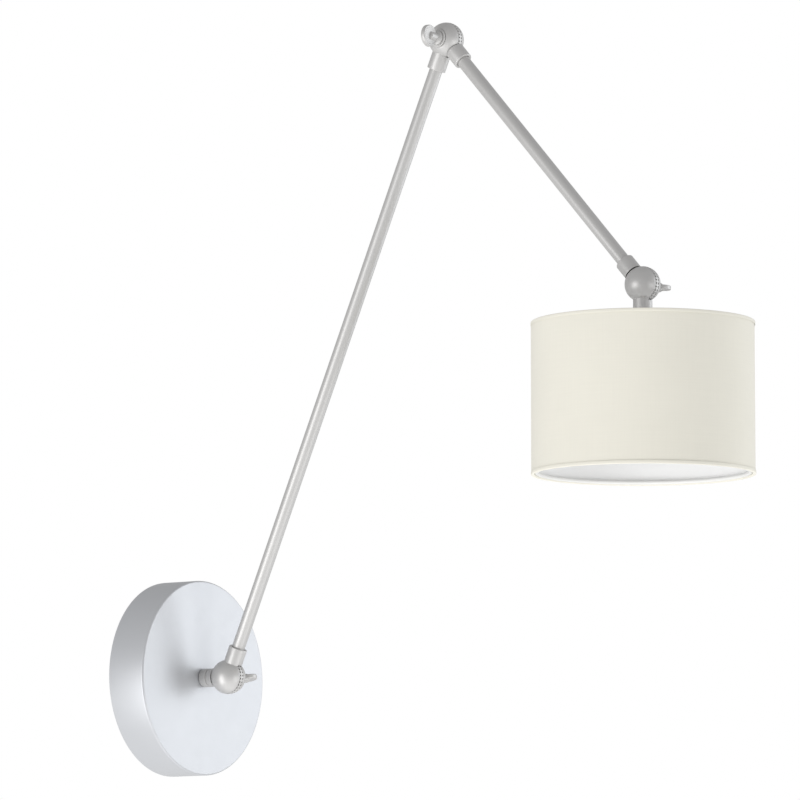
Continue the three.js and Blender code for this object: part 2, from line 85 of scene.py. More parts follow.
class Slot(Enum):
    """The finishes that the record names."""

    PAINT = "pale_paint"
    STEEL = "zinc_steel"
    BRASS = "brass"
    PLASTIC = "white_plastic"
    FABRIC = "shade_fabric"
    LINER = "shade_liner"
    OPAL = "opal_globe"
    BROWN = "brown_core"
    BLUE = "blue_core"
    GREEN = "green_core"
    FLEX = "white_flex"


class Body(Enum):
    """The bodies that move as one."""

    WALL = "wall_side"
    LOWER = "lower_arm"
    UPPER = "upper_arm"
    HEAD = "shade_head"
    WALL_WING = "wall_wing"
    ELBOW_WING = "elbow_wing"
    SHADE_WING = "shade_wing"


class Side(Enum):
    """The two sides of the lamp's own plane, along X."""

    LEFT = -1
    RIGHT = 1


# ---- Finishes ------------------------------------------------------------------------


def linear(red: int, green: int, blue: int) -> Colour:
    """Returns a colour seen on a screen, 0 to 255 each, in linear light."""
    return tuple(((c / 255 + 0.055) / 1.055) ** 2.4 if c > 10 else c / 255 / 12.92
                 for c in (red, green, blue))


class Shader:
    """The nodes of one material, added one at a time."""

    def __init__(self, name: str) -> None:
        """Starts an empty material.

        Args:
            name: the material's name.
        """
        self.material = bpy.data.materials.new(name)
        self.material.use_nodes = True
        self.tree = self.material.node_tree
        self.tree.nodes.clear()

    def add(self, kind: str, inputs: dict | None = None, **settings: object) -> bpy.types.Node:
        """Adds a node.

        Args:
            kind: the node's type without the ShaderNode in front.
            inputs: what each input holds, a value or another node's output.
            settings: the node's own options.

        Returns:
            The node.
        """
        node = self.tree.nodes.new("ShaderNode" + kind)
        for key, value in settings.items():
            setattr(node, key, value)
        for key, value in (inputs or {}).items():
            if isinstance(value, Output):
                self.tree.links.new(value, node.inputs[key])
            else:
                node.inputs[key].default_value = value
        return node

    def math(self, operation: str, first: object, second: object = 0.0) -> Output:
        """Returns the result of one sum on two values or outputs."""
        return self.add("Math", {0: first, 1: second}, operation=operation).outputs[0]

    def noise(self, where: Output, scale: float, detail: float = 2.0) -> Output:
        """Returns a soft random value, its grains 1 / scale apart."""
        inputs = {"Vector": where, "Scale": scale, "Detail": detail, "Roughness": 0.55}
        return self.add("TexNoise", inputs).outputs["Fac"]

    def stretched(self, where: Output, scale: Sequence[float]) -> Output:
        """Returns coordinates scaled by a different amount along each axis."""
        return self.add("Mapping", {"Vector": where, "Scale": scale}).outputs["Vector"]

    def shades(self, amount: Output, colour: Colour, spread: float) -> Output:
        """Lets a colour wander.

        Args:
            amount: from 0 to 1, which shade is taken.
            colour: the middle shade.
            spread: how much darker and lighter the ends are, as a share.

        Returns:
            The colour output.
        """
        ramp = self.add("ValToRGB", {"Fac": amount})
        ends = ramp.color_ramp.elements
        for end, place, share in ((ends[0], 0.3, 1 - spread), (ends[1], 0.7, 1 + spread)):
            end.position = place
            end.color = (*(min(1.0, c * share) for c in colour), 1.0)
        return ramp.outputs["Color"]

    def between(self, amount: Output, low: float, high: float) -> Output:
        """Returns a value from 0 to 1 spread between low and high."""
        return self.add("MapRange", {"Value": amount, "To Min": low, "To Max": high}).outputs[0]

    def bump(self, height: Output, strength: float, depth: float) -> Output:
        """Returns the normal of a height that stands depth metres high where it is 1."""
        inputs = {"Height": height, "Strength": strength, "Distance": depth}
        return self.add("Bump", inputs).outputs["Normal"]

    def surface(self, inputs: dict) -> bpy.types.Material:
        """Ends the material in one principled surface.

        Args:
            inputs: what its inputs hold.

        Returns:
            The material.
        """
        surface = self.add("BsdfPrincipled", inputs)
        self.add("OutputMaterial", {"Surface": surface.outputs["BSDF"]})
        return self.material


@dataclass(frozen=True)
class Coating:
    """A painted, plated or moulded finish: a wandering colour over a fine grain."""

    name: str
    slot: Slot
    colour: Colour
    roughness: float
    metallic: float = 0.0
    coat: float = 0.0
    spread: float = 0.02
    patch: float = 30.0
    grain: float = 1500.0
    grain_depth: float = 0.00003
    grain_strength: float = 0.25
    pull: tuple[float, float, float] = (1.0, 1.0, 1.0)
    glow: float = 0.0

    def make(self) -> bpy.types.Material:
        """Builds the nodes.

        Returns:
            The material.
        """
        shader = Shader(self.name)
        where = shader.add("TexCoord").outputs["Object"]
        patches = shader.noise(where, self.patch)
        drawn = shader.stretched(where, self.pull)
        grain = shader.noise(drawn, self.grain)
        worn = shader.noise(drawn, self.patch * 5, 4.0)
        inputs = {
            "Base Color": shader.shades(patches, self.colour, self.spread),
            "Roughness": shader.between(worn, self.roughness - 0.04, self.roughness + 0.05),
            "Normal": shader.bump(grain, self.grain_strength, self.grain_depth),
            "Metallic": self.metallic,
            "Coat Weight": self.coat,
            "Coat Roughness": 0.22,
        }
        if self.glow:
            inputs["Subsurface Weight"] = self.glow
            inputs["Subsurface Scale"] = 0.002
        return shader.surface(inputs)


@dataclass(frozen=True)
class Cloth:
    """A fine plain weave, drawn on coordinates that run in metres along the cloth."""

    name: str
    slot: Slot
    colour: Colour
    thread: float = 0.00042
    slub: float = 0.03
    sheen: float = 0.25
    roughness: float = 0.86

    def make(self) -> bpy.types.Material:
        """Builds the nodes.

        Returns:
            The material.
        """
        shader = Shader(self.name)
        flat = shader.add("UVMap", uv_map="cloth").outputs["UV"]
        split = shader.add("SeparateXYZ", {0: flat})
        waves = [shader.math("SINE", shader.math("MULTIPLY", split.outputs[axis],
                                                 math.pi / self.thread)) for axis in (0, 1)]
        over = shader.math("GREATER_THAN", shader.math("MULTIPLY", *waves), 0.0)
        threads = [shader.math("ABSOLUTE", wave) for wave in waves]
        under = shader.math("SUBTRACT", 1.0, over)
        weave = shader.math("ADD", shader.math("MULTIPLY", threads[0], over),
                            shader.math("MULTIPLY", threads[1], under))
        run, fine = 25.0, 900.0
        across = shader.noise(shader.stretched(flat, (run, fine, 1.0)), 1.0, 3.0)
        up = shader.noise(shader.stretched(flat, (fine, run, 1.0)), 1.0, 3.0)
        slubs = shader.math("MULTIPLY", shader.math("ADD", across, up), 0.5)
        cloudy = shader.noise(flat, 12.0, 3.0)
        tone = shader.math("MULTIPLY", shader.math("ADD", slubs, cloudy), 0.5)
        height = shader.math("ADD", shader.math("MULTIPLY", weave, 0.6),
                             shader.math("MULTIPLY", slubs, 0.8))
        return shader.surface({
            "Base Color": shader.shades(tone, self.colour, self.slub),
            "Roughness": shader.between(slubs, self.roughness - 0.06, self.roughness + 0.06),
            "Normal": shader.bump(height, 0.35, 0.00012),
            "Sheen Weight": self.sheen,
            "Sheen Roughness": 0.5,
        })


def satin(name: str, colour: Colour, roughness: float, metallic: float) -> Coating:
    """Returns a satin metallic paint with a fine orange peel."""
    return Coating(name, Slot.PAINT, colour, roughness, metallic, coat=0.1, spread=0.012,
                   patch=18.0, grain=2200.0, grain_depth=0.00001, grain_strength=0.3)


def sleeving(name: str, slot: Slot, colour: Colour) -> Coating:
    """Returns the coloured plastic of a core."""
    return Coating(name, slot, colour, 0.5, spread=0.05, grain=1800.0)


@dataclass(frozen=True)
class Finishes:
    """Every finish on the lamp."""

    paint: Coating = satin("satin_paint", linear(205, 204, 203), 0.42, 0.48)
    # The rose is the same satin paint as the rest. This copy is made slightly bluer as a painted cool
    # reflection of the face softbox on the rose's face.
    rose: Coating = satin("rose_paint_painted_cool_reflection", linear(206, 208, 212), 0.40, 0.46)
    steel: Coating = Coating("zinc_plate", Slot.STEEL, linear(186, 186, 182), 0.36,
                             metallic=1.0, spread=0.05, patch=90.0, grain=2600.0,
                             grain_depth=0.00002, pull=(1.0, 1.0, 0.12))
    brass: Coating = Coating("plain_brass", Slot.BRASS, linear(202, 170, 104), 0.32,
                             metallic=1.0, spread=0.06, patch=120.0, grain=2200.0,
                             grain_depth=0.00002)
    plastic: Coating = Coating("white_moulding", Slot.PLASTIC, linear(238, 237, 231), 0.42,
                               spread=0.01, grain=2000.0, grain_depth=0.00004, glow=0.08)
    liner: Coating = Coating("white_laminate", Slot.LINER, linear(249, 249, 249), 0.6,
                             spread=0.008, patch=10.0, grain=800.0, grain_depth=0.00008)
    tape: Coating = Coating("white_lacquer", Slot.LINER, linear(236, 236, 234), 0.5,
                            spread=0.01, grain=1600.0, grain_depth=0.00005)
    opal: Coating = Coating("opal_glass", Slot.OPAL, linear(248, 247, 242), 0.2,
                            coat=0.5, spread=0.006, grain=300.0, grain_depth=0.00002, glow=0.3)
    brown: Coating = sleeving("brown_sleeving", Slot.BROWN, linear(112, 72, 48))
    blue: Coating = sleeving("blue_sleeving", Slot.BLUE, linear(62, 104, 176))
    green: Coating = sleeving("green_sleeving", Slot.GREEN, linear(116, 156, 62))
    flex: Coating = Coating("white_sheath", Slot.FLEX, linear(228, 228, 224), 0.55,
                            spread=0.02, grain=1500.0)
    fabric: Cloth = Cloth("cream_cloth", Slot.FABRIC, linear(239, 236, 224))
    made: dict = field(default_factory=dict)

    def of(self, finish: Coating | Cloth) -> bpy.types.Material:
        """Gives a finish's material, built the first time it is asked for.

        Args:
            finish: one of the finishes.

        Returns:
            The material.
        """
        if finish.name not in self.made:
            self.made[finish.name] = finish.make()
        return self.made[finish.name]


FINISHES = Finishes()

# ---- Outlines ------------------------------------------------------------------------


def arc(radius: float, start: float, end: float, steps: int = 12,
        centre: Point = (0.0, 0.0)) -> list[Point]:
    """Returns the points along a circle from one angle to another, ends included."""
    turns = [start + (end - start) * i / steps for i in range(steps + 1)]
    return [(centre[0] + radius * math.cos(t), centre[1] + radius * math.sin(t)) for t in turns]


def rounded(corners: Iterable[Sequence[float]], steps: int = 5) -> list[Point]:
    """Rounds the corners of an outline.

    Args:
        corners: points as (across, along), or (across, along, rounding).
        steps: stretches in each rounding.

    Returns:
        The outline's points. The first and the last corner stay as they are.
    """
    corners = list(corners)
    points = []
    for i, corner in enumerate(corners):
        here = Vector(corner[:2])
        if len(corner) < 3 or not corner[2] or i in (0, len(corners) - 1):
            points.append(tuple(here))
            continue
        back = Vector(corners[i - 1][:2]) - here
        on = Vector(corners[i + 1][:2]) - here
        half = back.angle(on) / 2
        reach = min(corner[2] / math.tan(half), 0.49 * back.length, 0.49 * on.length)
        radius = reach * math.tan(half)
        centre = here + (back.normalized() + on.normalized()).normalized() * radius / math.sin(half)
        first = here + back.normalized() * reach - centre
        last = here + on.normalized() * reach - centre
        sweep = first.angle_signed(last)
        points += [tuple(centre + Matrix.Rotation(-sweep * k / steps, 2) @ first)
                   for k in range(steps + 1)]
    return points


def ring_outline(inner: float, outer: float, low: float, high: float,
                 rounding: float = 0.2) -> list[Point]:
    """Returns a pipe's section: its bore, its outside and rounded ends."""
    middle = (low + high) / 2
    return rounded([(inner, middle), (inner, low, rounding), (outer, low, rounding),
                    (outer, high, rounding), (inner, high, rounding), (inner, middle)])


# ---- Solids --------------------------------------------------------------------------

TURN_X = Matrix.Rotation(math.pi / 2, 4, "Y")  # carries +Z to +X
TURN_Y = Matrix.Rotation(math.pi / 2, 4, "X")  # carries +Z to -Y


class Blank:
    """A closed mesh in millimetres, shaped in steps before it is placed."""

    def __init__(self, mesh: bpy.types.Mesh) -> None:
        """Takes over a mesh."""
        self.mesh = mesh

    @classmethod
    def woven(cls, rings: Sequence[Sequence[Point]], angles: Sequence[float]) -> "Blank":
        """Joins sections that stand round the Z axis.

        Args:
            rings: one section for each angle, each with the same number of points.
            angles: where each section stands, in radians.

        Returns:
            The closed solid. A point on the axis is shared by all the sections.
        """
        work = bmesh.new()
        count = len(rings[0])
        looped = math.dist(rings[0][0], rings[0][-1]) < 1e-9
        if looped:
            count -= 1
        on_axis = {k: work.verts.new((0, 0, rings[0][k][1]))
                   for k in range(count) if abs(rings[0][k][0]) < 1e-9}
        columns = []
        for ring, turn in zip(rings, angles):
            spin = (math.cos(turn), math.sin(turn))
            columns.append([on_axis.get(k) or work.verts.new(
                (ring[k][0] * spin[0], ring[k][0] * spin[1], ring[k][1]))
                for k in range(count)])
        for i, column in enumerate(columns):
            beside = columns[(i + 1) % len(columns)]
            for k in range(count if looped else count - 1):
                on = (k + 1) % count
                corners = []
                for corner in (column[k], beside[k], beside[on], column[on]):
                    if corner not in corners:
                        corners.append(corner)
                if len(corners) > 2:
                    work.faces.new(corners)
        return cls.from_work(work)

    @classmethod
    def from_work(cls, work: bmesh.types.BMesh) -> "Blank":
        """Ends some mesh work, its faces turned outwards.

        Args:
            work: the work, which is freed.

        Returns:
            The blank.
        """
        bmesh.ops.recalc_face_normals(work, faces=work.faces)
        mesh = bpy.data.meshes.new("blank")
        work.to_mesh(mesh)
        work.free()
        return cls(mesh)

    @classmethod
    def turned(cls, outline: Sequence[Point], sides: int = 64) -> "Blank":
        """Turns one section round the Z axis."""
        return cls.woven([outline] * sides, [FULL_TURN * i / sides for i in range(sides)])

    @classmethod
    def bar(cls, radius: float, low: float, high: float, sides: int = 32,
            rounding: float = 0.2) -> "Blank":
        """Makes a round bar along the Z axis, its two ends rounded."""
        return cls.turned(rounded([(0, low), (radius, low, rounding), (radius, high, rounding),
                                   (0, high)]), sides)

    @classmethod
    def raised(cls, outline: Sequence[Point], low: float, high: float) -> "Blank":
        """Carries a flat outline up.

        Args:
            outline: its corners.
            low, high: the heights it runs between.

        Returns:
            The blank.
        """
        work = bmesh.new()
        floor = work.faces.new([work.verts.new((x, y, low)) for x, y in outline])
        lifted = bmesh.ops.extrude_face_region(work, geom=[floor])
        verts = [v for v in lifted["geom"] if isinstance(v, bmesh.types.BMVert)]
        bmesh.ops.translate(work, verts=verts, vec=(0, 0, high - low))
        return cls.from_work(work)

    @classmethod
    def block(cls, low: Sequence[float], high: Sequence[float]) -> "Blank":
        """A block between two corners."""
        (x0, y0, z0), (x1, y1, z1) = low, high
        return cls.raised([(x0, y0), (x1, y0), (x1, y1), (x0, y1)], z0, z1)

    @classmethod
    def threaded(cls, radius: float, depth: float, pitch: float, low: float, high: float,
                 bore: float = 0.0, sides: int = 48) -> "Blank":
        """A round bar or pipe with a screw thread along it.

        Args:
            radius: over the thread.
            depth: from its crest to its root.
            pitch: from one crest to the next.
            low, high: where it starts and ends.
            bore: the radius of the hole through it, or 0.
            sides: sections in one turn.

        Returns:
            The blank.
        """
        steps = int((high - low) / pitch * 6)
        heights = [low + (high - low) * i / steps for i in range(steps + 1)]
        rings, angles = [], []
        for i in range(sides):
            share = i / sides
            ring = [(bore, low)]
            for height in heights:
                phase = (height / pitch - share) % 1.0
                lead_in = min(1.0, (height - low) / pitch, (high - height) / pitch)
                crest = (1 - abs(2 * phase - 1)) * lead_in
                ring.append((radius - depth * (1 - crest), height))
            ring.append((bore, high))
            if bore:
                ring.append((bore, low))
            rings.append(ring)
            angles.append(FULL_TURN * share)
        return cls.woven(rings, angles)

    @classmethod
    def along(cls, line: Sequence[Sequence[float]], radius: float, sides: int = 16,
              steps: int = 8) -> "Blank":
        """A round lead along a smooth line through points.

        Args:
            line: the points it passes through.
            radius: the lead's radius.
            sides: corners in its section.
            steps: stretches between two points.

        Returns:
            The blank, its ends closed.
        """
        places = smooth_line(line, steps)
        work = bmesh.new()
        rings = []
        normal = Vector((0.1, 0.2, 1.0))
        for i, place in enumerate(places):
            ahead = places[min(i + 1, len(places) - 1)] - places[max(i - 1, 0)]
            ahead.normalize()
            normal = (normal - ahead * normal.dot(ahead)).normalized()
            other = ahead.cross(normal)
            rings.append([work.verts.new(place + radius * (
                normal * math.cos(FULL_TURN * k / sides) + other * math.sin(FULL_TURN * k / sides)))
                for k in range(sides)])
        for ring, following in zip(rings, rings[1:]):
            for k in range(sides):
                on = (k + 1) % sides
                work.faces.new((ring[k], ring[on], following[on], following[k]))
        work.faces.new(rings[0])
        work.faces.new(rings[-1])
        return cls.from_work(work)

    def moved(self, matrix: Matrix) -> "Blank":
        """Moves, turns or mirrors it.

        Args:
            matrix: how.

        Returns:
            Itself.
        """
        self.mesh.transform(matrix)
        if matrix.determinant() < 0:
            self.mesh.flip_normals()
        return self

    def _fit(self, operation: str, tools: Iterable["Blank"]) -> "Blank":
        """Fits it to each tool in turn.

        Args:
            operation: the boolean modifier's operation.
            tools: what it is cut with, joined to or kept within.

        Returns:
            Itself.
        """
        subject = linked("subject", self.mesh)
        helpers = [subject]
        for tool in tools:
            step = subject.modifiers.new("fit", "BOOLEAN")
            step.operation = operation
            step.solver = "EXACT"
            step.object = linked("tool", tool.mesh)
            helpers.append(step.object)
        self.mesh = evaluated(subject)
        for helper in helpers:
            bpy.data.objects.remove(helper)
        return self

    def cut(self, *tools: "Blank") -> "Blank":
        """Takes the tools away from it, and returns it."""
        return self._fit("DIFFERENCE", tools)

    def join(self, *others: "Blank") -> "Blank":
        """Joins others to it, and returns it."""
        return self._fit("UNION", others)

    def within(self, other: "Blank") -> "Blank":
        """Keeps what lies inside another, and returns it."""
        return self._fit("INTERSECT", [other])

    def softened(self, width: float, steps: int = 2, angle: float = 40.0) -> "Blank":
        """Rounds its sharp edges.

        Args:
            width: how far the rounding reaches.
            steps: stretches in it.
            angle: the least angle that counts as sharp, in degrees.

        Returns:
            Itself.
        """
        subject = linked("subject", self.mesh)
        bevel = subject.modifiers.new("edges", "BEVEL")
        bevel.width = width
        bevel.segments = steps
        bevel.limit_method = "ANGLE"
        bevel.angle_limit = math.radians(angle)
        self.mesh = evaluated(subject)
        bpy.data.objects.remove(subject)
        return self

    def place(self, name: str, matrix: Matrix, finish: Coating | Cloth, body: Body,
              *nodes: str) -> Piece:
        """Sets the finished piece in the frame.

        Args:
            name: the piece's name.
            matrix: from its own millimetres to the frame.
            finish: its surface.
            body: what it moves with.
            nodes: the CAD nodes that it stands for.

        Returns:
            The piece.
        """
        self.mesh.transform(matrix @ Matrix.Scale(MM, 4))
        for face in self.mesh.polygons:
            face.use_smooth = True
        self.mesh.set_sharp_from_angle(angle=SMOOTH_ANGLE)
        self.mesh.name = name
        self.mesh.materials.clear()
        self.mesh.materials.append(FINISHES.of(finish))
        piece = linked(name, self.mesh)
        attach(piece, body.value)
        if nodes:
            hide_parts(*nodes)
        log.info("%s: %d faces, on %s", name, len(self.mesh.polygons), body.value)
        return piece


def linked(name: str, data: bpy.types.ID) -> Piece:
    """Puts a new object in the scene.

    Args:
        name: its name.
        data: what it shows.

    Returns:
        The object.
    """
    made = bpy.data.objects.new(name, data)
    bpy.context.scene.collection.objects.link(made)
    return made


def evaluated(subject: Piece) -> bpy.types.Mesh:
    """Applies an object's modifiers.

    Args:
        subject: the object.

    Returns:
        A new mesh.
    """
    graph = bpy.context.evaluated_depsgraph_get()
    graph.update()
    return bpy.data.meshes.new_from_object(subject.evaluated_get(graph))


def smooth_line(points: Sequence[Sequence[float]], steps: int) -> list[Vector]:
    """A smooth line through points that doesn't overshoot where they lie close together.

    Args:
        points: what it passes through.
        steps: stretches between two points.

    Returns:
        The places along it.
    """
    knots = [Vector(p) for p in points]
    ends = [2 * knots[0] - knots[1], *knots, 2 * knots[-1] - knots[-2]]
    places = [knots[0]]
    for a, b, c, d in zip(ends, ends[1:], ends[2:], ends[3:]):
        times = [0.0]
        for before, after in ((a, b), (b, c), (c, d)):
            times.append(times[-1] + math.sqrt((after - before).length))
        for i in range(1, steps + 1):
            t = times[1] + (times[2] - times[1]) * i / steps
            level = [a, b, c, d]
            for depth in (1, 2, 3):
                lows = range(4 - depth)
                if depth < 3:
                    spans = [(times[k], times[k + depth]) for k in lows]
                else:
                    spans = [(times[1], times[2])]
                level = [level[k] + (level[k + 1] - level[k]) * (t - spans[k][0])
                         / (spans[k][1] - spans[k][0]) for k in lows]
            places.append(level[0])
    return places


def facing(pivot: Vector, ahead: Vector) -> Matrix:
    """A place in the lamp's own plane.

    Args:
        pivot: where it is, in metres.
        ahead: where its own +Z points.

    Returns:
        The matrix, its own X along the frame's X.
    """
    z = ahead.normalized()
    y = z.cross(Vector((1, 0, 0)))
    turn = Matrix(((1, y.x, z.x), (0, y.y, z.y), (0, y.z, z.z)))
    return Matrix.Translation(pivot) @ turn.to_4x4()


def radius_of(node: str) -> float:
    """Returns the radius of a round node, in millimetres."""
    low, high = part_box(node)
    return (high.x - low.x) / 2 / MM


def pivot_of(joint: str) -> Vector:
    """Returns a joint's place in the frame."""
    return Vector(next(j["pos_m"] for j in frame["joints"] if j["name"] == joint))


# ---- Ball knuckle --------------------------------------------------------------------


@dataclass
class Knuckle:
    """A clamped ball joint: two half balls, a toothed ring and a wing screw."""

    place: str
    pivot: Vector
    wing: Side
    wing_turn: float
    ball: float = 13.25
    wall: float = 2.6
    ring_half: float = 1.8
    relief: float = 0.8
    flat: float = 7.9
    screw: float = 2.4
    boss: float = 4.2
    neck: float = 7.1
    wire_bore: float = 3.6
    sleeve_bore: float = 5.25
    sleeve_start: float = 13.6
    teeth: int = 32
    notch_depth: float = 1.15
    notch_width: float = 1.05
    paddle: float = 8.3
    paddle_thick: float = 3.4

    def __post_init__(self) -> None:
        """Works out the faces that the other sizes fix, and the side without the wing."""
        self.plain = Side(-self.wing.value)
        self.seam = self.ring_half + GAP
        self.cavity = self.ball - self.wall
        self.flat_reach = math.sqrt(self.ball ** 2 - self.flat ** 2)
        self.collar_start = self.flat_reach + 1 + 2 * GAP
        self.paddle_centre = self.collar_start + 2 + self.paddle

    def dome_outline(self, winged: bool) -> list[Point]:
        """Draws a half ball about its own axis, from the seam outwards.

        Args:
            winged: whether the wing screw goes through it.

        Returns:
            The section, closed or from the axis back to it.
        """
        ease = 0.05
        cavity_edge = math.sqrt(self.cavity ** 2 - self.seam ** 2)
        ball_edge = math.sqrt(self.ball ** 2 - self.seam ** 2)
        start = math.asin(self.seam / self.ball)
        hole = self.screw + GAP
        boss_top = math.sqrt(self.cavity ** 2 - self.boss ** 2)
        inside = [*arc(self.cavity, math.atan2(boss_top, self.boss),
                       math.atan2(self.seam, cavity_edge), 10)]
        if winged:
            end = math.asin(self.flat_reach / self.ball)
            return rounded([
                (hole, self.seam + 2), (hole, self.flat_reach, 0.2),
                (self.flat, self.flat_reach, 0.35),
                *reversed(arc(self.ball, start + ease, end - ease, 20)),
                (ball_edge, self.seam, 0.35), *reversed(inside),
                (self.boss, self.seam + 1), (hole, self.seam + 1), (hole, self.seam + 2)])
        return rounded([
            (0, self.ball), *reversed(arc(self.ball, start + ease, math.pi / 2 - ease, 28)),
            (ball_edge, self.seam, 0.35), *reversed(inside),
            (self.boss, self.seam + 1), (hole, self.seam + 1), (hole, self.cavity),
            (0, self.cavity)])

    def half(self, side: Side, reach: float, sleeve_from: float) -> Blank:
        """One half of the ball with its neck along +Z.

        Args:
            side: which side of the seam it fills.
            reach: from the pivot to the neck's end.
            sleeve_from: where the tube's bore starts.

        Returns:
            The blank, about the pivot.
        """
        across = TURN_X if side is Side.RIGHT else TURN_X.inverted()
        dome = Blank.turned(self.dome_outline(side is self.wing), 96).moved(across)
        inner = self.cavity + 0.3
        neck = Blank.turned(rounded([
            (self.wire_bore, sleeve_from - 0.5), (self.wire_bore, inner), (self.neck, inner),
            (self.neck, reach, 0.55), (self.sleeve_bore, reach, 0.3),
            (self.sleeve_bore, sleeve_from), (self.wire_bore, sleeve_from),
            (self.wire_bore, sleeve_from - 0.5)]), 72)
        clear = self.ball + self.relief
        rim = math.asin(self.seam / clear)
        room = Blank.turned([(0, -clear), *arc(clear, -math.pi / 2 + 0.04, rim, 48),
                             (0, self.seam)], 96).moved(across)
        bore = Blank.bar(self.wire_bore, 5, sleeve_from - 0.2, 48)
        return dome.join(neck.cut(room)).cut(bore)

    def ring(self) -> Blank:
        """Makes the ring between the halves, notched along both of its edges.

        Returns:
            The blank, about the pivot.
        """
        pitch = FULL_TURN / self.teeth
        wall = pitch * 0.05
        root = self.ball - self.notch_depth
        rings, angles = [], []
        for tooth in range(self.teeth):
            cuts = ((0, 0), (0.27, 0), (0.5, 0), (0.55, 1), (0.75, 1), (0.95, 1))
            for share, notched in cuts:
                width = self.ring_half - (self.notch_width if notched else 0.02)
                crown = [(math.sqrt(self.ball ** 2 - x * x) - (0.12 if abs(k) == 2 else 0), x)
                         for k, x in ((k, width * k / 2) for k in range(-2, 3))]
                half = self.ring_half
                rings.append([(self.cavity, -half), (root, -half), (root, -width), *crown,
                              (root, width), (root, half), (self.cavity, half),
                              (self.cavity, -half)])
                angles.append((tooth + share) * pitch + wall)
        return Blank.woven(rings, angles).moved(TURN_X)

    def washer(self) -> Blank:
        """Makes the washer between the spot face and the wing screw.

        Returns:
            The blank, about the pivot.
        """
        start = self.flat_reach + GAP
        outline = ring_outline(self.screw + GAP, self.flat - 0.8, start, start + 1, 0.3)
        return Blank.turned(outline, 64).moved(TURN_X)

    def wing_screw(self) -> Blank:
        """Makes the screw: a threaded shank, a collar, a waist and a dished round paddle.

        Returns:
            The blank, about the pivot.
        """
        collar = self.flat - 2.4
        start = self.collar_start
        waist = self.screw + 1.2
        head = Blank.turned(rounded([
            (0, start), (collar, start, 0.3), (collar, start + 1.5, 0.4),
            (waist, start + 2.5, 0.6), (waist, self.paddle_centre, 0.6),
            (0, self.paddle_centre + 1)]), 48).moved(TURN_X)
        thread = Blank.threaded(self.screw, 0.35, 0.8, 1 - self.cavity, start + 0.5).moved(TURN_X)
        half = self.paddle_thick / 2
        rim = self.paddle - 1.5
        side = [(0, half - 0.2), (rim - 0.7, half - 0.2, 0.6), (rim, half, 0.5),
                (self.paddle, half, 0.95)]
        paddle = Blank.turned(rounded(side + [(r, -z, *rest) for r, z, *rest in reversed(side)]), 72)
        middle = Matrix.Translation((self.paddle_centre, 0, 0))
        paddle.moved(middle @ Matrix.Rotation(math.pi / 2, 4, "X"))
        return head.join(paddle, thread)

    def build_rings(self, along: Matrix, body: Body) -> None:
        """Sets the toothed ring and the washer.

        Args:
            along: the pivot, its own +Z along the arm that holds them.
            body: what they move with.
        """
        self.ring().place(f"{self.place}_click_ring", along, FINISHES.paint, body,
                          f"{self.place}_tooth_ring")
        turn = Matrix.Identity(4) if self.wing is Side.RIGHT else Matrix.Rotation(math.pi, 4, "Z")
        self.washer().place(f"{self.place}_disc_washer", along @ turn, FINISHES.paint, body,
                            f"{self.place}_wing_washer")

    def build_wing(self, body: Body) -> None:
        """Sets the wing screw, turned as it was left after clamping.

        Args:
            body: what it moves with.
        """
        turn = Matrix.Rotation(math.radians(self.wing_turn), 4, "X")
        if self.wing is Side.LEFT:
            turn = turn @ Matrix.Rotation(math.pi, 4, "Z")
        self.wing_screw().place(f"{self.place}_thumb_screw", Matrix.Translation(self.pivot) @ turn,
                                FINISHES.paint, body, f"{self.place}_wing_screw")


# ---- Wall side -----------------------------------------------------------------------


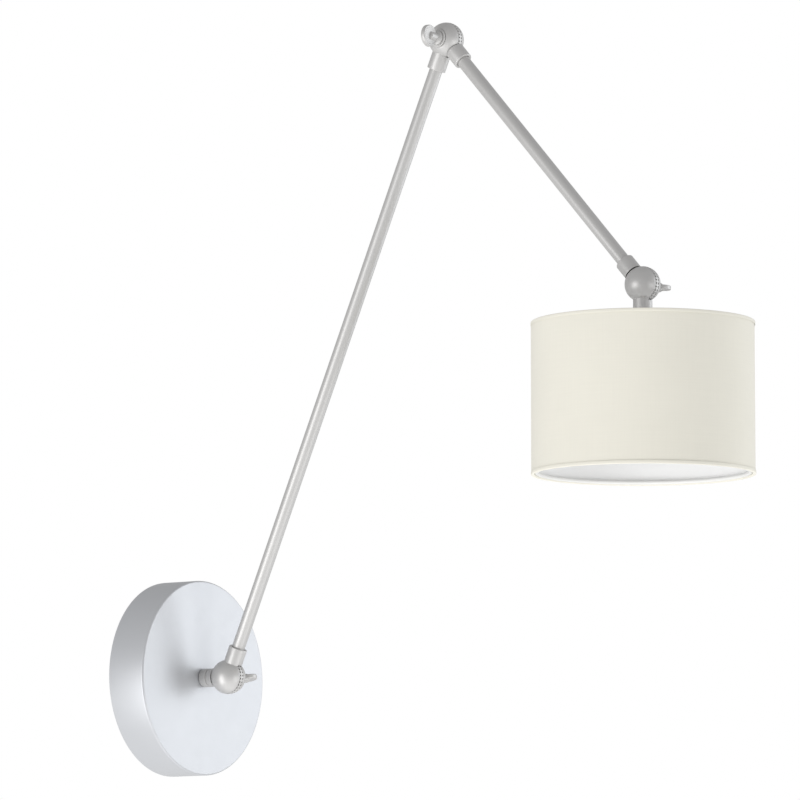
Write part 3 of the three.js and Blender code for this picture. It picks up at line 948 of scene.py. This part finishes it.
@dataclass
class WallSide:
    """The rose, what it hides, and the fixed half of the wall knuckle."""

    knuckle: Knuckle
    neck_reach: float = 24.0
    stem_reach: float = 17.3
    rose_wall: float = 1.5
    edge: float = 1.5
    grub: float = 1.9
    ear_depth: float = 14.0
    tube_short: float = 14.0  # from the threaded tube's end to the pivot
    plate: float = 2.0
    bracket_width: float = 22.0
    slot_width: float = 5.0
    slot_length: float = 14.0
    thread: float = 4.9
    nut: float = 8.1
    way_pitch: float = 8.5
    block_middle: float = -27.0
    block_half: float = 10.0
    block_deep: float = 14.0
    way_bore: float = 1.9
    screw_bore: float = 2.1
    screw_out: float = 5.2
    core: float = 1.0

    def __post_init__(self) -> None:
        """Reads the rose's size from the frame and works out what follows from it."""
        low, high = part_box("rose_cup")
        self.radius = radius_of("rose_cup")
        self.depth = (high.y - low.y) / MM
        self.ear = self.radius - self.rose_wall - 2
        self.grub_depth = self.ear_depth * 0.6
        self.nipple_start = self.depth - 11
        self.nut_start = self.nipple_start + 2.5
        self.block_back = self.plate + GAP
        self.block_front = self.block_back + self.block_deep
        self.way_depth = self.block_back + 6

    def way_height(self, way: int) -> float:
        """The height of one of the block's three ways, -1, 0 or 1."""
        return self.block_middle + way * self.way_pitch

    def add(self, blank: Blank, name: str, finish: Coating, *nodes: str) -> None:
        """Places a piece that is already in the frame's directions."""
        blank.place(name, Matrix.Identity(4), finish, Body.WALL, *nodes)

    def build_rose(self) -> None:
        """The cover plate, with its two grub screws."""
        r, d, w = self.radius, self.depth, self.rose_wall
        hole = self.thread + SLIP
        cup = Blank.turned(rounded([
            (r - w, 1), (r - w, 0, 0.3), (r, 0, 0.45), (r, d, self.edge), (hole, d, 0.3),
            (hole, d - w), (r - w, d - w, self.edge), (r - w, 1)], 6), 160).moved(TURN_Y)
        drill = Blank.bar(self.grub + GAP, -r - 5, r + 5, 40)
        drill.moved(Matrix.Translation((0, -self.grub_depth, 0)))
        # The cover's paint carries a painted cool reflection: a bluer copy of the satin paint.
        self.add(cup.cut(drill), "rose_cover", FINISHES.rose, "rose_cup")
        inner = self.ear - self.plate - 1.5
        for name, spin in (("upper", 0.0), ("lower", math.pi)):
            body = Blank.threaded(self.grub, 0.28, 0.7, inner, r - 0.4, sides=32)
            socket = Blank.bar(self.grub * 0.55, r - 2.2, r + 1, 6, 0)
            screw = body.cut(socket).moved(Matrix.Rotation(spin, 4, "X"))
            screw.moved(Matrix.Translation((0, -self.grub_depth, 0)))
            self.add(screw, f"grub_screw_{name}", FINISHES.steel, f"rose_grub_{name}")

    def build_bracket(self) -> None:
        """The bent wall bar with its two slots."""
        e, t, deep = self.ear, self.plate, self.ear_depth
        arm = [(e, 0, 2.6), (e, deep, 0.4), (e - t, deep, 0.4), (e - t, t, 0.7)]
        outline = rounded([(0, 0), *arm, *[(-a, b, c) for a, b, c in reversed(arm)], (0, 0)])[:-1]
        half = self.bracket_width / 2
        plate = Blank.raised(outline, -half, half)
        plate.moved(Matrix(((0, 0, 1, 0), (0, -1, 0, 0), (1, 0, 0, 0), (0, 0, 0, 1))))
        drill = Blank.bar(self.grub + GAP, -e - 5, e + 5)
        tools = [drill.moved(Matrix.Translation((0, -self.grub_depth, 0)))]
        run = (self.slot_length - self.slot_width) / 2
        radius = self.slot_width / 2
        for side in (-1, 1):
            middle = side * (e - t) * 0.78
            slot = [*arc(radius, 0, math.pi, 16, (0, middle + run)),
                    *arc(radius, math.pi, FULL_TURN, 16, (0, middle - run))]
            tools.append(Blank.raised(slot, -2, t + 2).moved(TURN_Y))
        self.add(plate.cut(*tools).softened(0.25), "mounting_bar", FINISHES.steel, "wall_bracket")

    def build_stem(self) -> None:
        """The threaded tube, its nut and washer, and the spacer outside the rose."""
        far = self.neck_reach + self.depth
        tube = Blank.threaded(self.thread, THREAD_DEPTH, THREAD_PITCH, self.nipple_start,
                              far - self.tube_short, bore=self.knuckle.wire_bore)
        self.add(tube.moved(TURN_Y), "stem_threaded_tube", FINISHES.steel, "stem_nipple")
        low, high = self.nut_start, self.nut_start + 5
        cone = Blank.turned(rounded([
            (self.thread + 0.1, low + 1), (self.thread + 0.1, low, 0.4), (self.nut - 0.9, low),
            (self.nut + 0.3, low + 0.7), (self.nut + 0.3, high - 0.7), (self.nut - 0.9, high),
            (self.thread + 0.1, high, 0.4), (self.thread + 0.1, low + 1)]), 72)
        hexagon = Blank.raised(arc(self.nut, 0, FULL_TURN, 6)[:-1], low - 1, high + 1)
        nut = cone.within(hexagon)
        self.add(nut.moved(TURN_Y), "lock_nut", FINISHES.steel, "stem_locknut")
        start, end = high + GAP, self.depth - self.rose_wall - GAP
        points = 16
        star = []
        for i in range(points):
            for share, radius in ((-0.3, self.nut - 0.6), (-0.16, self.nut + 0.9),
                                  (0.16, self.nut + 0.9), (0.3, self.nut - 0.6)):
                turn = (i + share) * FULL_TURN / points
                star.append((radius * math.cos(turn), radius * math.sin(turn)))
        washer = Blank.raised(star, start, end)
        washer.cut(Blank.bar(self.thread + SLIP, 0, self.depth, 48))
        washer.softened(0.2)
        self.add(washer.moved(TURN_Y), "shakeproof_washer", FINISHES.steel, "stem_star_washer")
        spacer = Blank.turned(ring_outline(
            self.thread + SLIP, self.knuckle.neck, self.depth + GAP,
            far - self.stem_reach - GAP, 0.45), 72)
        self.add(spacer.moved(TURN_Y), "stem_spacer", FINISHES.paint, "stem_collar")

    def build_connector(self) -> None:
        """The three-way block with its six screws."""
        w, back, front = self.block_half, self.block_back, self.block_front
        tall = 1.5 * self.way_pitch
        body = Blank.block((-w, -front, self.block_middle - tall),
                           (w, -back, self.block_middle + tall)).softened(0.8, 3)
        tools = []
        for way in (-1, 0, 1):
            z = self.way_height(way)
            hole = Blank.bar(self.way_bore, -w - 1, w + 1).moved(TURN_X)
            tools.append(hole.moved(Matrix.Translation((0, -self.way_depth, z))))
            for side in (-1, 1):
                shaft = Blank.bar(self.screw_bore, self.way_depth, front + 1)
                tools.append(shaft.moved(Matrix.Translation((side * self.screw_out, 0, z)) @ TURN_Y))
        for between in (-0.5, 0.5):
            z = self.block_middle + between * self.way_pitch
            tools.append(Blank.block((-w - 1, -front - 1, z - 0.5), (w + 1, 2.2 - front, z + 0.5)))
        self.add(body.cut(*tools), "connector_block", FINISHES.plastic, "terminal_block")
        number = 0
        for way in (-1, 0, 1):
            for side in (-1, 1):
                number += 1
                low, high = self.way_depth + 2.2, front - 1.6
                head = Blank.turned(rounded([(0, low), (1.75, low, 0.2), (1.75, high, 0.5),
                                             (0, high + 0.15)]), 32)
                head.cut(Blank.block((-3, -0.35, high - 1), (3, 0.35, high + 2)))
                spin = Matrix.Rotation(0.7 * number, 4, "Z")
                seat = Matrix.Translation((side * self.screw_out, 0, self.way_height(way)))
                self.add(head.moved(seat @ TURN_Y @ spin), f"connector_screw_{number}",
                         FINISHES.brass, f"terminal_screw_{number}")

    def build_cores(self) -> None:
        """The three cores, in a loop beside the block and through the stem."""
        spread = 0.85 * (2 * self.core - 0.05)
        room = self.nipple_start - self.way_depth
        out = self.block_half + 9.5
        ball_end = self.depth + self.neck_reach - self.knuckle.sleeve_start - 1 - spread
        shares = (0.02, 0.1, 0.37, 0.49, 0.64, 0.82)
        across = (out, out + 1, out, 8.0, 1.0, 0.0)
        up = (self.block_middle + 6, self.block_middle + 18, -1.5, 0.0, 0.0, 0.0)
        bundle = [(x, -(self.way_depth + share * room), z) for x, share, z in zip(across, shares, up)]
        bundle += [(0, -self.nipple_start - 4, 0), (0, -ball_end, 0)]
        kinds = ((-1, "neutral", FINISHES.blue), (0, "earth", FINISHES.green),
                 (1, "live", FINISHES.brown))
        for way, name, finish in kinds:
            step = way * spread
            start = [(self.block_half + x, -self.way_depth, self.way_height(way)) for x in (-3.4, 1.5)]
            line = start + [(x - step, y + step, z + step) for x, y, z in bundle]
            self.add(Blank.along(line, self.core), f"core_{name}", finish, f"lead_{name}")

    def build(self) -> None:
        """Builds everything that stays on the wall."""
        self.build_rose()
        self.build_bracket()
        self.build_stem()
        self.build_connector()
        self.build_cores()
        stem = facing(self.knuckle.pivot, Vector((0, 1, 0)))
        half = self.knuckle.half(self.knuckle.wing, self.stem_reach, self.knuckle.sleeve_start)
        half.place("wall_half_fixed", stem, FINISHES.paint, Body.WALL, "wall_knuckle_base")
        self.knuckle.build_rings(stem, Body.WALL)
        self.knuckle.build_wing(Body.WALL_WING)


# ---- Arms ----------------------------------------------------------------------------


@dataclass
class Arm:
    """A tube between two knuckles, with the flex inside it."""

    name: str
    body: Body
    near: Knuckle
    far: Knuckle
    near_nodes: tuple[str, str]
    far_nodes: tuple[str, str]
    neck_reach: float = 24.0
    tube: float = 5.0
    tube_wall: float = 1.0
    flex: float = 2.6

    def build(self, far_wing: Body) -> None:
        """Builds the arm, the ring and washer at its far end, and that end's screw.

        Args:
            far_wing: the body of that screw.
        """
        run = self.far.pivot - self.near.pivot
        length = run.length / MM
        near, far = facing(self.near.pivot, run), facing(self.far.pivot, -run)
        start = self.near.sleeve_start
        self.near.half(self.near.plain, self.neck_reach, start).place(
            self.near_nodes[0], near, FINISHES.paint, self.body, self.near_nodes[1])
        inset = start + 0.5
        pipe = ring_outline(self.tube - self.tube_wall, self.tube, inset, length - inset, 0.25)
        Blank.turned(pipe, 72).place(f"{self.name}_tube", near, FINISHES.paint, self.body,
                                     f"{self.name}_arm_tube")
        inset = self.neck_reach + 2
        Blank.bar(self.flex, inset, length - inset, rounding=0.4).place(
            f"{self.name}_flex", near, FINISHES.flex, self.body, f"lead_{self.name}_arm")
        self.far.half(self.far.wing, self.neck_reach, start).place(
            self.far_nodes[0], far, FINISHES.paint, self.body, self.far_nodes[1])
        self.far.build_rings(far, self.body)
        self.far.build_wing(far_wing)


# ---- Shade and lamp holder -----------------------------------------------------------


@dataclass
class Shade:
    """The drum shade, its wire frame, the lamp holder and the bulb, down from a pivot."""

    knuckle: Knuckle
    neck_reach: float = 24.0
    thread: float = 4.9
    flex: float = 2.6
    cloth_ply: float = 0.35
    seam_lap: float = 8.0
    seam_at: float = math.radians(232)
    liner_ply: float = 0.6
    trim_ply: float = 0.4
    trim_height: float = 2.6
    hoop_wire: float = 1.4
    spokes: int = 3
    holder: float = 13.9
    flange: float = 17.0
    flange_height: float = 3.0
    spider_plate: float = 1.6
    ring_height: float = 7.0
    ribs: int = 30
    globe: float = 22.5
    bulb_cap: float = 6.8
    bulb_depth: float = 0.7
    bulb_pitch: float = 3.0
    sides: int = 180

    def __post_init__(self) -> None:
        """Reads the shade's place from the frame, as heights below the pivot."""
        self.down = facing(self.knuckle.pivot, Vector((0, 0, -1)))
        self.top = self.heights("shade_trim_top")[0]
        self.bottom = self.heights("shade_trim_bottom")[1]
        self.cloth_outer = radius_of("shade_fabric")
        self.liner_outer = radius_of("shade_liner")
        self.spider_top = self.heights("shade_spider")[1] - self.spider_plate
        self.cap_top, self.cap_end = self.heights("holder_cap")
        self.flange_top, self.holder_end = self.heights("holder_body")
        self.bulb_start = self.heights("bulb_cap")[0]
        self.collar_start, self.collar_end = self.heights("bulb_collar")
        self.globe_centre = self.collar_end + self.globe - 6
        self.liner_inner = self.liner_outer - self.liner_ply
        self.hem_inner = self.liner_inner - GAP - self.trim_ply
        self.hoop = self.hem_inner - GAP - self.hoop_wire
        self.drum_low = self.top + self.trim_ply + GAP
        self.drum_high = self.bottom - self.trim_ply - GAP

    def heights(self, node: str) -> tuple[float, float]:
        """Returns how far a node's top and bottom are below the pivot, in millimetres."""
        low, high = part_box(node)
        return tuple((self.knuckle.pivot.z - end.z) / MM for end in (high, low))

    def add(self, blank: Blank, name: str, finish: Coating | Cloth, *nodes: str,
            ) -> Piece:
        """Places a piece that is made about the shade's axis, and returns it."""
        return blank.place(name, self.down, finish, Body.HEAD, *nodes)

    def cloth(self) -> Piece:
        """The cloth: one length wrapped round, its end lapped over its start.

        Returns:
            The piece.
        """
        low, high = self.drum_low, self.drum_high
        ply = self.cloth_ply
        inner = self.cloth_outer - 2 * ply
        length = FULL_TURN * inner + self.seam_lap
        columns = 240
        rows = 12
        work = bmesh.new()
        flat = work.loops.layers.uv.new("cloth")
        lap_start = 1 - 1.6 * self.seam_lap / length
        grid = {}
        for i in range(columns + 1):
            share = i / columns
            rise = min(1.0, max(0.0, (share - lap_start) / (1 - self.seam_lap / length - lap_start)))
            rise = rise * rise * (3 - 2 * rise)
            turn = self.seam_at + share * length / inner
            for layer in (0, 1):
                radius = inner + (layer + rise) * ply
                for j in range(rows + 1):
                    z = low + (high - low) * j / rows
                    grid[i, j, layer] = work.verts.new(
                        (radius * math.cos(turn), radius * math.sin(turn), z))

        def patch(*keys: tuple[int, int, int]) -> None:
            """Adds one face and lays its flat coordinates, in metres."""
            face = work.faces.new([grid[key] for key in keys])
            for loop, (i, j, _) in zip(face.loops, keys):
                loop[flat].uv = (i / columns * length * MM, j / rows * (high - low) * MM)

        for i in range(columns):
            for j in range(rows):
                for layer in (0, 1):
                    patch((i, j, layer), (i + 1, j, layer), (i + 1, j + 1, layer), (i, j + 1, layer))
            for j in (0, rows):
                patch((i, j, 0), (i + 1, j, 0), (i + 1, j, 1), (i, j, 1))
        for i in (0, columns):
            for j in range(rows):
                patch((i, j, 0), (i, j + 1, 0), (i, j + 1, 1), (i, j, 1))
        blank = Blank.from_work(work)
        cloth = self.add(blank, "shade_cloth", FINISHES.fabric, "shade_fabric")
        trims = [self.trim("shade_hem_top", self.top, 1, "shade_trim_top"),
                 self.trim("shade_hem_bottom", self.bottom, -1, "shade_trim_bottom")]
        return cloth

    def trim(self, name: str, edge: float, inward: int, node: str) -> Piece:
        """A strip of the same cloth folded over an edge and pressed flat.

        Args:
            name: the piece's name.
            edge: the height of the shade's edge.
            inward: 1 where the shade lies below the edge, -1 where it lies above.
            node: the CAD node that it stands for.

        Returns:
            The piece.
        """
        t = self.trim_ply
        near = self.cloth_outer + 0.04
        r = near + t / 2
        inner = self.hem_inner
        leg = edge + inward * self.trim_height
        lip = edge + inward * t
        outline = rounded([
            (near + 0.02, leg), (near + 0.05, leg), (r, leg - inward * 0.7, 0.4),
            (r, edge, 0.6), (inner, edge, 0.75), (inner, leg, 0.15), (inner + t, leg, 0.15),
            (inner + t, lip, 0.4), (near, lip, 0.2), (near, leg), (near + 0.02, leg)], 4)
        blank = Blank.turned(outline, self.sides)
        mesh = blank.mesh
        layer = mesh.uv_layers.new(name="cloth")
        for face in mesh.polygons:
            turns = [math.atan2(mesh.vertices[v].co.y, mesh.vertices[v].co.x) for v in face.vertices]
            if max(turns) - min(turns) > math.pi:
                turns = [turn % FULL_TURN for turn in turns]
            for loop, vertex, turn in zip(face.loop_indices, face.vertices, turns):
                place = mesh.vertices[vertex].co
                off = math.hypot(place.x, place.y) + place.z
                layer.data[loop].uv = (turn * r * MM, off * MM)
        return self.add(blank, name, FINISHES.fabric, node)

    def build_drum(self) -> None:
        """The stiff liner, the cloth over it, and the wire frame."""
        liner = ring_outline(self.liner_inner, self.liner_outer, self.drum_low, self.drum_high, 0.1)
        self.add(Blank.turned(liner, self.sides), "shade_stiffener", FINISHES.liner, "shade_liner")
        self.cloth()
        edge = self.trim_ply + GAP + self.hoop_wire
        for name, height, node in (("top", self.top + edge, "shade_top_hoop"),
                                   ("bottom", self.bottom - edge, "shade_bottom_hoop")):
            wire = arc(self.hoop_wire, 0, FULL_TURN, 16, (self.hoop, height))
            self.add(Blank.turned(wire, self.sides), f"wire_hoop_{name}", FINISHES.tape, node)
        self.build_spider(self.top + edge)

    def build_spider(self, hoop_height: float) -> None:
        """The hub plate and the spokes welded to the top hoop.

        Args:
            hoop_height: how far below the pivot the hoop lies.
        """
        outer = self.flange + 2
        hub = Blank.turned(ring_outline(self.holder + GAP, outer, self.spider_top,
                                        self.spider_top + self.spider_plate, 0.5), 96)
        middle = self.spider_top + self.spider_plate / 2
        wire = self.hoop_wire * 0.9
        for i in range(self.spokes):
            line = [(outer - 2.5, 0, middle), (outer + 3, 0, middle), (outer + 9, 0, middle - 1.6),
                    (self.hoop - 8, 0, hoop_height + 1.2), (self.hoop - 2.5, 0, hoop_height),
                    (self.hoop, 0, hoop_height)]
            spoke = Blank.along(line, wire, 20)
            spin = math.pi / 2 + i * FULL_TURN / self.spokes
            hub.join(spoke.moved(Matrix.Rotation(spin, 4, "Z")))
        self.add(hub, "shade_carrier", FINISHES.tape, "shade_spider")

    def build_holder(self) -> None:
        """The lamp holder: cap, body, shade ring, threaded tube and flex."""
        bore, top, end = self.thread + SLIP, self.cap_top, self.cap_end
        shoulder = end - 2
        cap = rounded([
            (bore, top + 1), (bore, top, 0.2), (self.thread + 2.6, top, 0.5),
            (self.thread + 3.2, top + 1.6, 1.0), (self.holder - 1.5, shoulder - 2, 2.0),
            (self.holder, shoulder, 0.8), (self.holder, end, 0.3), (self.holder - 2, end, 0.2),
            (self.holder - 2, shoulder + 0.6), (bore, shoulder - 2.4), (bore, top + 1)])
        self.add(Blank.turned(cap, 72), "holder_dome", FINISHES.plastic, "holder_cap")
        start, seat = self.flange_top, self.flange_top + self.flange_height
        floor, well, hole = self.bulb_start - 4, 8.2, self.flex + GAP
        body = rounded([
            (hole, start), (self.flange, start, 0.6), (self.flange, seat, 0.6),
            (self.holder, seat, 0.5), (self.holder, self.holder_end, 0.9),
            (well, self.holder_end, 0.5), (well, floor), (hole, floor), (hole, start)])
        self.add(Blank.turned(body, 72), "holder_barrel", FINISHES.plastic, "holder_body")
        self.build_shade_ring()
        tube = Blank.threaded(self.thread, THREAD_DEPTH, THREAD_PITCH,
                              self.knuckle.sleeve_start + 0.5, start - 4 - GAP,
                              bore=self.knuckle.wire_bore)
        self.add(tube, "neck_threaded_tube", FINISHES.steel, "shade_nipple")
        flex = Blank.bar(self.flex, self.knuckle.sleeve_start + 1, floor - GAP)
        self.add(flex, "neck_flex", FINISHES.flex, "lead_shade")
        contact = frame["nodes"]["holder_contact"]
        contact.data.materials.clear()
        contact.data.materials.append(FINISHES.of(FINISHES.brass))

    def build_shade_ring(self) -> None:
        """The ribbed ring nut that clamps the shade's hub on the holder."""
        low = self.spider_top + self.spider_plate + GAP
        high = low + self.ring_height
        bore = self.holder + SLIP
        sides = 4 * self.ribs
        rings = []
        for i in range(sides):
            outer = self.holder + 3.6 - (0.0 if i % 4 < 2 else 0.5)
            rings.append(rounded([
                (bore, low + 1), (bore, low, 0.3), (outer, low, 0.6), (outer, high, 0.6),
                (bore, high, 0.3), (bore, low + 1)], 3))
        angles = [FULL_TURN * i / sides for i in range(sides)]
        self.add(Blank.woven(rings, angles), "holder_ring_nut", FINISHES.plastic, "shade_ring")

    def build_bulb(self) -> None:
        """The bulb: a screw cap, its collar and an opal globe."""
        tip, end = self.bulb_start, self.holder_end - GAP
        cap = Blank.threaded(self.bulb_cap, self.bulb_depth, self.bulb_pitch, tip + 3.2, end, sides=64)
        foot = Blank.turned(rounded([
            (0, tip), (2.4, tip, 0.4), (2.4, tip + 1, 0.2), (6.1, tip + 3.4, 0.4),
            (6.1, tip + 5), (0, tip + 5)]), 48)
        self.add(cap.join(foot), "bulb_screw_cap", FINISHES.brass, "bulb_cap")
        low, high = self.collar_start, self.collar_end
        collar = rounded([(0, low), (7.8, low, 0.3), (9.0, low + 2, 1.0),
                          (self.globe * 0.62, high - 2, 3.0), (self.globe * 0.68, high, 0.5),
                          (0, high)])
        self.add(Blank.turned(collar, 72), "bulb_base", FINISHES.plastic, "bulb_collar")
        cut = math.asin((high + GAP - self.globe_centre) / self.globe)
        globe = [(0, high + GAP), *arc(self.globe, cut, math.pi / 2, 40, (0, self.globe_centre))]
        globe[-1] = (0, self.globe_centre + self.globe)
        self.add(Blank.turned(globe, 96), "bulb_opal", FINISHES.opal, "bulb_globe")

    def build(self) -> None:
        """Builds everything below the shade's pivot."""
        half = self.knuckle.half(self.knuckle.plain, self.neck_reach, self.knuckle.sleeve_start)
        self.add(half, "shade_half_neck", FINISHES.paint, "shade_knuckle_neck")
        self.build_drum()
        self.build_holder()
        self.build_bulb()


# ---- Studio --------------------------------------------------------------------------


@dataclass
class Studio:
    """The camera, the pale floor and the soft lights."""

    eye: Vector = field(default_factory=lambda: Vector((-3.3275, -2.6569, -0.2743)))
    target: Vector = field(default_factory=lambda: Vector((0.0, -0.2204, 0.2029)))
    lens: float = 247.5
    floor_drop: float = 6.0
    ambient: float = 0.47

    def aim(self, thing: Piece, place: Vector) -> None:
        """Sets a camera or a light in its place, looking at the lamp.

        Args:
            thing: the camera or the light.
            place: where it goes.
        """
        thing.location = place
        thing.rotation_mode = "QUATERNION"
        thing.rotation_quaternion = (self.target - place).to_track_quat("-Z", "Y")

    def camera(self) -> None:
        """Sets the camera."""
        data = bpy.data.cameras.new("camera")
        data.lens = self.lens
        data.sensor_width = 36.0
        data.clip_end = 100.0
        camera = linked("camera", data)
        self.aim(camera, self.eye)
        bpy.context.scene.camera = camera

    def softbox(self, name: str, towards: Sequence[float], distance: float,
                size: tuple[float, float], power: float,
                colour: Colour = (1.0, 1.0, 1.0)) -> None:
        """Hangs one soft light.

        Args:
            name: its name.
            towards: the direction from the lamp to it.
            distance: how far away it hangs, in metres.
            size: its width and height, in metres.
            power: its power, in watts.
            colour: the colour of its light.
        """
        data = bpy.data.lights.new(name, "AREA")
        data.shape = "RECTANGLE"
        data.size, data.size_y = size
        data.energy = power
        data.color = colour
        light = linked(name, data)
        self.aim(light, self.target + Vector(towards).normalized() * distance)
        light.visible_camera = False

    def room(self) -> None:
        """A white backdrop and dimmer fill from every side."""
        world = bpy.data.worlds.new("room")
        world.use_nodes = True
        nodes, links = world.node_tree.nodes, world.node_tree.links
        nodes.clear()
        seen = nodes.new("ShaderNodeLightPath")
        mix = nodes.new("ShaderNodeMixShader")
        for place, strength in ((1, self.ambient), (2, 1.0)):
            glow = nodes.new("ShaderNodeBackground")
            glow.inputs["Strength"].default_value = strength
            glow.inputs["Color"].default_value = (1.0, 1.0, 1.0, 1.0)
            links.new(glow.outputs[0], mix.inputs[place])
        links.new(seen.outputs["Is Camera Ray"], mix.inputs[0])
        output = nodes.new("ShaderNodeOutputWorld")
        links.new(mix.outputs[0], output.inputs[0])
        bpy.context.scene.world = world

    def floor(self) -> None:
        """A plain pale floor that gives back a little light of its own."""
        work = bmesh.new()
        bmesh.ops.create_circle(work, cap_ends=True, radius=40.0, segments=96)
        mesh = Blank.from_work(work).mesh
        shader = Shader("pale_floor")
        where = shader.add("TexCoord").outputs["Object"]
        mesh.materials.append(shader.surface({
            "Base Color": shader.shades(shader.noise(where, 1.5), linear(236, 236, 235), 0.006),
            "Roughness": 0.8, "Emission Color": (1.0, 1.0, 1.0, 1.0),
            "Emission Strength": 0.3}))
        floor = linked("studio_floor", mesh)
        floor.location.z = CAD_BOX[0].z - self.floor_drop

    def build(self) -> None:
        """Sets the room, the lights and the view transform."""
        bpy.context.scene.view_settings.view_transform = "Standard"
        self.room()
        self.floor()
        self.softbox("left_softbox", (-0.9, 0.25, -0.35), 5.5, (3.0, 5.5), 150.0)
        self.softbox("right_softbox", (0.04, -0.935, -0.28), 5.0, (2.4, 2.8), 34.0)
        self.softbox("face_softbox", (0.80, -0.587, 0.115), 5.5, (4.0, 4.5), 92.0, (0.94, 0.97, 1.0))
        self.softbox("low_softbox", (-0.15, -0.3, -0.9), 2.5, (3.5, 3.5), 17.0)
        log.info("studio: camera, floor and four softboxes")


# ---- The whole lamp ------------------------------------------------------------------


def main() -> None:
    """Builds the lamp and its studio."""
    logging.basicConfig(level=logging.INFO, format="%(message)s")
    studio = Studio()
    studio.camera()
    wall = Knuckle("wall", pivot_of("wall_pivot"), Side.RIGHT, 78.0)
    elbow = Knuckle("elbow", pivot_of("elbow_pivot"), Side.LEFT, 0.0)
    shade = Knuckle("shade", pivot_of("shade_pivot"), Side.RIGHT, 93.0)
    WallSide(wall).build()
    Arm("lower", Body.LOWER, wall, elbow, ("wall_half_turning", "wall_knuckle_arm"),
        ("elbow_half_lower", "elbow_knuckle_lower")).build(Body.ELBOW_WING)
    Arm("upper", Body.UPPER, elbow, shade, ("elbow_half_upper", "elbow_knuckle_upper"),
        ("shade_half_arm", "shade_knuckle_arm")).build(Body.SHADE_WING)
    Shade(shade).build()
    studio.build()


if __name__ == "__main__":
    main()
